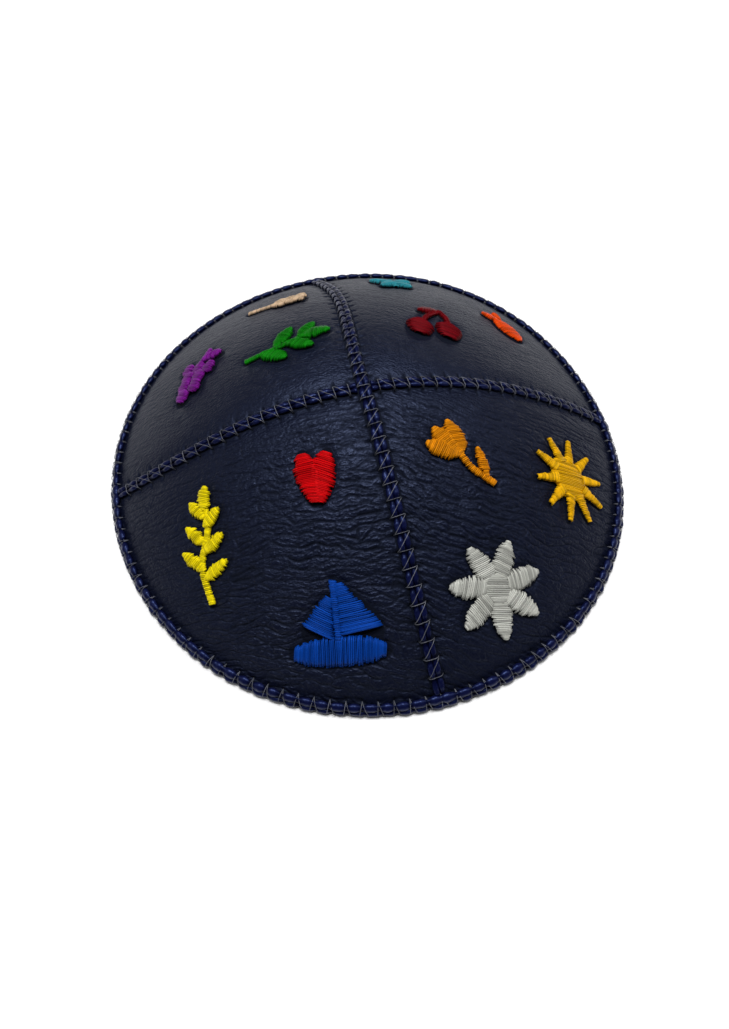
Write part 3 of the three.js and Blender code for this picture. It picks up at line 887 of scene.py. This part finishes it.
def needle_dents(x, y):
    """Dents at the needle holes along the seams and the rim, and the painted shade in them and on
    the leather under the cord.
    """
    relief = np.zeros_like(x)
    shade = np.zeros_like(x)
    for radius, side in ((x, y), (y, x)):
        beyond = np.abs(side) - HOLE_OFFSET
        gap = off_whole(radius / STITCH) * STITCH
        hole = bell(gap, 1.3 * HOLE_RADIUS) * bell(beyond, 1.2 * HOLE_RADIUS)
        uneven = noise(radius / STITCH * 0.8, 3 * np.sign(side), 10)
        length = TICK_LENGTH + TICK_LENGTH_SPREAD * uneven
        tick = bell(gap, TICK_WIDTH) * (beyond > 0) / (1 + np.exp((beyond - length) / 0.3))
        relief -= HOLE_DEPTH * hole + TICK_DEPTH * tick
        shade = np.maximum(shade, np.maximum(hole, 0.95 * tick))
        # Painted shade on the leather under the cord.
        shade = np.maximum(shade, 0.8 * (beyond < 0.1))
    angle = np.arctan2(y, x)
    phase = angle * RIM_STITCHES / (2 * math.pi)
    gap = off_whole(phase) * 2 * math.pi * LEATHER_RADIUS / RIM_STITCHES
    inward = (LEATHER_RADIUS - np.hypot(x, y)) / math.cos(RIM_SLOPE) + RIM_HOLE_AXIAL
    hole = bell(gap, 1.3 * HOLE_RADIUS) * bell(inward, 1.2 * HOLE_RADIUS)
    fading = np.exp(-np.maximum(inward, 0) / RIM_TICK_REACH)
    tick = bell(gap, RIM_TICK_WIDTH) * np.where(inward > 0, fading, 0)
    relief -= RIM_HOLE_DEPTH * hole + RIM_TICK_DEPTH * tick
    shade = np.maximum(shade, np.maximum(hole, 0.7 * tick))
    return relief, shade


def motif_distance(motif, x, y):
    """How far points lie outside a motif's stitches, in millimetres."""
    nearest = np.full(x.shape, 99.0)
    t = np.linspace(0, 1, 15)
    for column in motif["shape"](motif_size(motif)):
        spine = values_along(column["spine"], t)
        half = values_along(column["halves"], t) * motif_size(motif)
        cx, cy = motif_place(motif, spine[:, 0], spine[:, 1])
        for i in range(len(t)):
            nearest = np.minimum(nearest, np.hypot(x - cx[i], y - cy[i]) - half[i])
    return nearest


def embroidery_dents(x, y):
    """The pull of the embroidery on the leather round it, and the painted shade at its edge."""
    relief = np.zeros_like(x)
    shade = np.zeros_like(x)
    for motif in MOTIFS:
        cx, cy = motif_place(motif, 0, 0)
        near = np.hypot(x - cx, y - cy) < 0.8 * motif_size(motif)
        if not near.any():
            continue
        distance = motif_distance(motif, x[near], y[near])
        outside = np.maximum(distance, 0)
        relief[near] -= (MOTIF_EDGE_DEPTH * bell(outside, MOTIF_EDGE_REACH)
                         + MOTIF_PULL_DEPTH * bell(outside, MOTIF_PULL_REACH))
        shade[near] = np.maximum(shade[near], 0.9 * bell(outside, MOTIF_SHADE_REACH))
    return relief, shade


def panel_grid(bearing, steps):
    """Flat pattern coordinates of a quarter of the cap, as a square grid."""
    u, v = np.meshgrid(np.linspace(0, 1, steps + 1), np.linspace(0, 1, steps + 1), indexing="ij")
    a = np.maximum(LEATHER_RADIUS * u * np.sqrt(1 - v * v / 2), SEAM_GAP / 2)
    b = np.maximum(LEATHER_RADIUS * v * np.sqrt(1 - u * u / 2), SEAM_GAP / 2)
    x, y = flat_place(bearing, a, b)
    return x.ravel(), y.ravel()


def grid_faces(steps, start, flip):
    i, j = np.meshgrid(np.arange(steps), np.arange(steps), indexing="ij")
    corner = start + i * (steps + 1) + j
    quads = np.stack([corner, corner + steps + 1, corner + steps + 2, corner + 1], -1)
    quads = quads.reshape(-1, 4)
    return (quads[:, ::-1] if flip else quads).tolist()


def grid_border(steps, start):
    """Vertices round a square grid, counter-clockwise from its first corner."""
    n = steps + 1
    low = [i * n for i in range(steps)]
    right = [steps * n + j for j in range(steps)]
    top = [(steps - i) * n + steps for i in range(steps)]
    left = [steps - j for j in range(steps)]
    return [start + k for k in low + right + top + left]


def make_panel(name, bearing, steps, outside, inside):
    x, y = panel_grid(bearing, steps)
    crease_relief, crease_shade = wrinkle_relief(x, y)
    stitch_relief, stitch_shade = needle_dents(x, y)
    motif_relief, motif_shade = embroidery_dents(x, y)
    uneven = FACE_UNEVENNESS * noise(x * 0.9, y * 0.9, 7)
    outer = on_dome(x, y, crease_relief + stitch_relief + motif_relief + uneven)
    inner_steps = steps // INNER_RATIO
    inner_x, inner_y = panel_grid(bearing, inner_steps)
    nap = SUEDE_UNEVENNESS * noise(inner_x / 2, inner_y / 2, 8)
    inner = on_dome(inner_x, inner_y, -LEATHER_WALL + nap)
    faces = grid_faces(steps, 0, False)
    inner_faces = grid_faces(inner_steps, len(outer), True)
    border = grid_border(steps, 0)
    inner_border = grid_border(inner_steps, len(outer))
    edge_faces = []
    for i, here in enumerate(inner_border):
        following = inner_border[(i + 1) % len(inner_border)]
        along = [border[(i * INNER_RATIO + k) % len(border)] for k in range(INNER_RATIO + 1)]
        edge_faces.append([here, following] + along[::-1])
    piece = make_piece(name.replace("panel", "leather"), np.concatenate([outer, inner]),
                       faces + edge_faces + inner_faces, [outside, inside], [name])
    sides = [0] * (len(faces) + len(edge_faces)) + [1] * len(inner_faces)
    piece.data.polygons.foreach_set("material_index", sides)
    # Painted shade in the leather's colour: its creases, needle holes, the strip under the cord and
    # the embroidery's edges.
    painted_shade_and_tones = 1 - np.maximum(crease_shade, np.maximum(stitch_shade, motif_shade))
    set_attribute(piece, "painted_shade_and_tone", np.concatenate([painted_shade_and_tones, np.ones(len(inner))]))
    along, across = crease_lines(np.concatenate([x, inner_x]), np.concatenate([y, inner_y]))
    grain = [along / FINE_CELL[0], across / FINE_CELL[1], 0 * along]
    set_attribute(piece, "grain", np.stack(grain, -1))


# Couched cord over the seams

def puff(phase, pinches):
    """How full a cord is, pinched where a thread crosses it, with each bulge a little different."""
    fullness = 1 + 0.1 * noise(phase * 0.9, np.full_like(phase, 2.5), 9)
    for offset, depth in pinches:
        fullness -= depth * bell(off_whole(phase - offset), PINCH_WIDTH)
    return fullness


def make_seam_cord(name, bearing, start, end, material):
    """Two strands side by side, down both of which the thread is couched."""
    count = int(abs(end - start) / STITCH * STRAND_STEPS_PER_STITCH)
    radius = np.linspace(start, end, count)
    parts = []
    fullnesses = []
    for hand in (-1, 1):
        pinches = [(0, SEAM_PINCH), (-0.2 * hand, SLANTED_PINCH)]
        fullness = puff(radius / STITCH + 31 * hand, pinches)
        wander = 0.12 * noise(radius / 6, np.full_like(radius, 3.0 * hand), 5)
        side = hand * (SEAM_STRAND["side"] + 0.5 * (fullness - 1)) + wander
        x, y = flat_place(bearing, radius, side)
        centre = on_dome(x, y, SEAM_STRAND["height"] * fullness)
        parts.append(tubes(centre[None], dome_normal(x, y)[None], SEAM_STRAND["width"] * fullness,
                           SEAM_STRAND["thick"] * fullness, STRAND_SIDES, CORD_TWIST))
        fullnesses.append(fullness)
    piece = make_threads(name.replace("seam_cord", "satin_cord"), parts, material, [name])
    # Painted shade where the cord is pinched.
    set_cord_painted_shade(piece, np.concatenate(fullnesses))


def limb(bearing, holes, height_at):
    """The thread from one needle hole to another, given as distance along and beside a seam."""
    t = np.linspace(0, 1, 13)
    radius = holes[0][0] + (holes[1][0] - holes[0][0]) * t
    side = holes[0][1] + (holes[1][1] - holes[0][1]) * t
    x, y = flat_place(bearing, radius, side)
    return on_dome(x, y, height_at(side)), dome_normal(x, y)


def thread_arch(side):
    """0 at the needle holes and 1 between them, with round shoulders."""
    return np.maximum(1 - (np.abs(side) / HOLE_OFFSET) ** 4, 0) ** 0.5


def over_cord(side):
    return -THREAD_DIP + OVER_CORD_ARCH * thread_arch(side) - BETWEEN_STRANDS_SAG * bell(side, 0.4)


def under_leather(side):
    return -LEATHER_WALL + INNER_THREAD_DIP - UNDER_LEATHER_ARCH * thread_arch(side)


def make_zigzag(name, bearing, start, end, material):
    """Each stitch has a limb straight across the cord and a slanted one back, on both faces."""
    limbs = []
    first = math.ceil(start / STITCH)
    last = math.floor(end / STITCH)
    for i in range(first, last + 1):
        jitter = random.uniform(-ZIGZAG_JITTER, ZIGZAG_JITTER, 3)
        here = (i * STITCH + jitter[0], HOLE_OFFSET)
        opposite = (i * STITCH + ZIGZAG_LEAN + jitter[1], -HOLE_OFFSET)
        before = ((i - 1) * STITCH + jitter[2], HOLE_OFFSET)
        for height_at in (over_cord, under_leather):
            limbs.append(limb(bearing, (here, opposite), height_at))
            if i > first:
                limbs.append(limb(bearing, (opposite, before), height_at))
    paths = np.array([path for path, _ in limbs])
    ups = np.array([up for _, up in limbs])
    parts = [tubes(paths, ups, ZIGZAG_RADIUS, ZIGZAG_RADIUS, 6, SATIN_TWIST)]
    set_thread_tones(make_threads(name, parts, material, []), len(limbs))


# Rim

def rim_section(angle, axial, height):
    x, y = rim_place(angle, axial)
    place = on_dome(x, y, height)
    place[..., 2] = np.maximum(place[..., 2], 0.02)
    return place


def make_rim(material):
    """Satin cord laid over the leather's edge: on top, outside and underneath."""
    count = RIM_STITCHES * RIM_STEPS_PER_STITCH
    angle = np.arange(count) * 2 * math.pi / count
    phase = angle * RIM_STITCHES / (2 * math.pi)
    around = 5 * np.stack([np.cos(angle), np.sin(angle)])
    seam_ends = sum(bell(np.angle(np.exp(1j * (angle - math.radians(seam["bearing"])))), 0.035)
                    for seam in SEAMS)
    parts = []
    fullnesses = []
    for row, laid in enumerate(RIM_STRANDS):
        uneven = RIM_UNEVENNESS * noise(around[0] * 8, around[1] * 8, row)
        uneven += RIM_SEAM_LUMP * seam_ends
        pinch = RIM_PINCH * bell(off_whole(phase - laid["pinch"]), RIM_PINCH_WIDTH)
        fullness = 1.04 + uneven - pinch
        wander = RIM_WANDER * noise(around[0], around[1], 4 + row)
        axial = laid["axial"] + 0.5 * (fullness - 1) * (row == 1) + wander
        x, y = rim_place(angle, axial)
        centre = rim_section(angle, axial, laid["height"])
        vertices, faces, uvs = tubes(centre[None], dome_normal(x, y)[None],
                                     laid["width"] * fullness, laid["thick"] * fullness,
                                     STRAND_SIDES, CORD_TWIST, closed=True)
        vertices[:, 2] = np.maximum(vertices[:, 2], 0)
        parts.append((vertices, faces, uvs))
        fullnesses.append(fullness)
    piece = make_threads("satin_rim", parts, material, ["rim_cord"])
    # Painted shade where the cord is pinched.
    set_cord_painted_shade(piece, np.concatenate(fullnesses))


def make_rim_thread(material):
    """Thread wrapped over the rim: two limbs spread down from each needle hole."""
    t = np.linspace(0, 1, 15)
    paths = []
    ups = []
    for i in range(RIM_STITCHES):
        for spread in RIM_LIMBS:
            reach = spread + random.uniform(-RIM_LIMB_JITTER, RIM_LIMB_JITTER)
            phase = i + reach * np.minimum(t / 0.45, 1)
            angle = phase * 2 * math.pi / RIM_STITCHES
            turn = np.radians(RIM_WRAP["start"] - RIM_WRAP["sweep"] * t)
            axial = RIM_WRAP["axial"] + RIM_WRAP["half_width"] * np.cos(turn)
            height = RIM_WRAP["height"] + RIM_WRAP["half_height"] * np.sin(turn)
            axial[0] = RIM_HOLE_AXIAL
            height[0] = -RIM_THREAD_DIP
            x, y = rim_place(angle, axial)
            place = on_dome(x, y, height)
            place[..., 2] = np.maximum(place[..., 2], 0.1)
            paths.append(place)
            ups.append(np.stack([-np.sin(angle), np.cos(angle), np.zeros_like(angle)], -1))
    parts = [tubes(np.array(paths), np.array(ups), ZIGZAG_RADIUS, ZIGZAG_RADIUS, 6, SATIN_TWIST)]
    set_thread_tones(make_threads("rim_thread", parts, material, []), len(paths))


# Embroidery

def column_threads(motif, column, layer):
    """Satin stitches side by side along a column: paths and the dome's normals."""
    t = np.linspace(0, 1, 60)
    spine = values_along(column["spine"], t)
    length = np.linalg.norm(np.diff(spine, axis=0), axis=1).sum() * motif_size(motif)
    count = max(int(length / SATIN_PITCH), 3)
    t = (np.arange(count) + 0.5) / count
    spine = values_along(column["spine"], t)
    ahead = values_along(column["spine"], t + 0.01)
    behind = values_along(column["spine"], t - 0.01)
    tangent = ahead - behind
    tangent /= np.linalg.norm(tangent, axis=1, keepdims=True)
    half = np.maximum(values_along(column["halves"], t), 0.3 / motif_size(motif))
    notched = np.where(random.random((2, count)) < SHORT_SHARE, SHORT_PULL, LONG_REACH)
    spread = random.uniform(-END_SPREAD, END_SPREAD, (2, count))
    loose = np.minimum(half * motif_size(motif) / 2, 1)
    ragged = loose * (notched + spread) / motif_size(motif)
    across = np.linspace(-1, 1, 8)
    reach = np.where(across < 0, (half + ragged[0])[:, None], (half + ragged[1])[:, None]) * across
    slant = (SATIN_SLANT + random.uniform(-0.03, 0.03, count))[:, None] * reach
    u = spine[:, :1] - tangent[:, 1:] * reach + tangent[:, :1] * slant
    v = spine[:, 1:] + tangent[:, :1] * reach + tangent[:, 1:] * slant
    x, y = motif_place(motif, u, v)
    widest = half.max()
    loft = SATIN_LOFT * min(widest * motif_size(motif) / 1.5, 1) * np.sqrt(half / widest)[:, None]
    height = -SATIN_ROOT_DEPTH + (SATIN_SHOULDER + loft) * np.sqrt(1 - (0.985 * across) ** 4)
    height = height + THREAD_LAYER * layer + random.uniform(-0.04, 0.04, (count, 1))
    return on_dome(x, y, height), dome_normal(x, y)


def make_motif(motif):
    material = thread_material(motif["slot"], motif["colour"])
    paths = []
    ups = []
    for layer, column in enumerate(motif["shape"](motif_size(motif))):
        place, normal = column_threads(motif, column, layer)
        paths.append(place)
        ups.append(normal)
    paths = np.concatenate(paths)
    parts = [tubes(paths, np.concatenate(ups), SATIN_RADIUS, SATIN_RADIUS, 6, SATIN_TWIST)]
    piece = make_threads("stitched_" + motif["name"], parts, material, ["motif_" + motif["name"]])
    set_thread_tones(piece, len(paths))


# The photograph's view and light

def make_camera():
    camera = bpy.data.cameras.new("camera")
    camera.sensor_fit = "VERTICAL"
    camera.sensor_height = SENSOR_HEIGHT
    camera.lens = SENSOR_HEIGHT * FOCAL_LENGTH / PICTURE_HEIGHT
    camera.clip_start = 0.01
    columns = (CAMERA_RIGHT, CAMERA_UP, CAMERA_RIGHT.cross(CAMERA_UP), CAMERA_PLACE)
    rows = [[column[i] for column in columns] for i in range(3)]
    view = add_object("camera", camera)
    view.matrix_world = Matrix((*rows, (0, 0, 0, 1)))
    bpy.context.scene.camera = view


def make_floor():
    mesh = bpy.data.meshes.new("floor")
    corners = [(-1, -1), (1, -1), (1, 1), (-1, 1)]
    mesh.from_pydata([(FLOOR_REACH * x, FLOOR_REACH * y, 0) for x, y in corners],
                     [], [(0, 1, 2, 3)])
    mesh.materials.append(new_material("pale_floor", FLOOR_WHITE, 0.9, 0.1)[0])
    add_object("floor", mesh)


def make_area_light(values):
    light = bpy.data.lights.new(values["name"], "AREA")
    light.shape = "SQUARE"
    light.size = values["size"]
    light.energy = values["power"]
    lamp = add_object(values["name"], light)
    lamp.location = values["place"]
    facing = Vector(LIGHT_TARGET) - Vector(values["place"])
    lamp.rotation_euler = facing.to_track_quat("-Z", "Y").to_euler()


def make_lights():
    world = bpy.data.worlds.new("studio")
    world.use_nodes = True
    background = world.node_tree.nodes["Background"]
    background.inputs["Color"].default_value = (1, 1, 1, 1)
    background.inputs["Strength"].default_value = WORLD_STRENGTH
    bpy.context.scene.world = world
    for values in LIGHTS:
        make_area_light(values)
    bpy.context.scene.view_settings.view_transform = "Standard"


make_camera()
make_floor()
make_lights()

leather = leather_material()
suede = suede_material()
satin = cord_material()
grey_thread = thread_material("zigzag_thread", ZIGZAG_GREY, 0.35)

make_panel("panel_back_right", 0, BACK_STEPS, leather, suede)
make_panel("panel_back_left", 90, BACK_STEPS, leather, suede)
make_panel("panel_front_left", 180, FRONT_STEPS, leather, suede)
make_panel("panel_front_right", 270, FRONT_STEPS, leather, suede)

make_seam_cord("seam_cord_long", 90, -CORD_END, CORD_END, satin)
make_seam_cord("seam_cord_right", 0, BESIDE_LONG_CORD, CORD_END, satin)
make_seam_cord("seam_cord_left", 180, BESIDE_LONG_CORD, CORD_END, satin)
make_zigzag("zigzag_long", 90, -CORD_END, CORD_END, grey_thread)
make_zigzag("zigzag_right", 0, BESIDE_LONG_CORD, CORD_END, grey_thread)
make_zigzag("zigzag_left", 180, BESIDE_LONG_CORD, CORD_END, grey_thread)
make_rim(satin)
make_rim_thread(grey_thread)

for motif in MOTIFS:
    make_motif(motif)
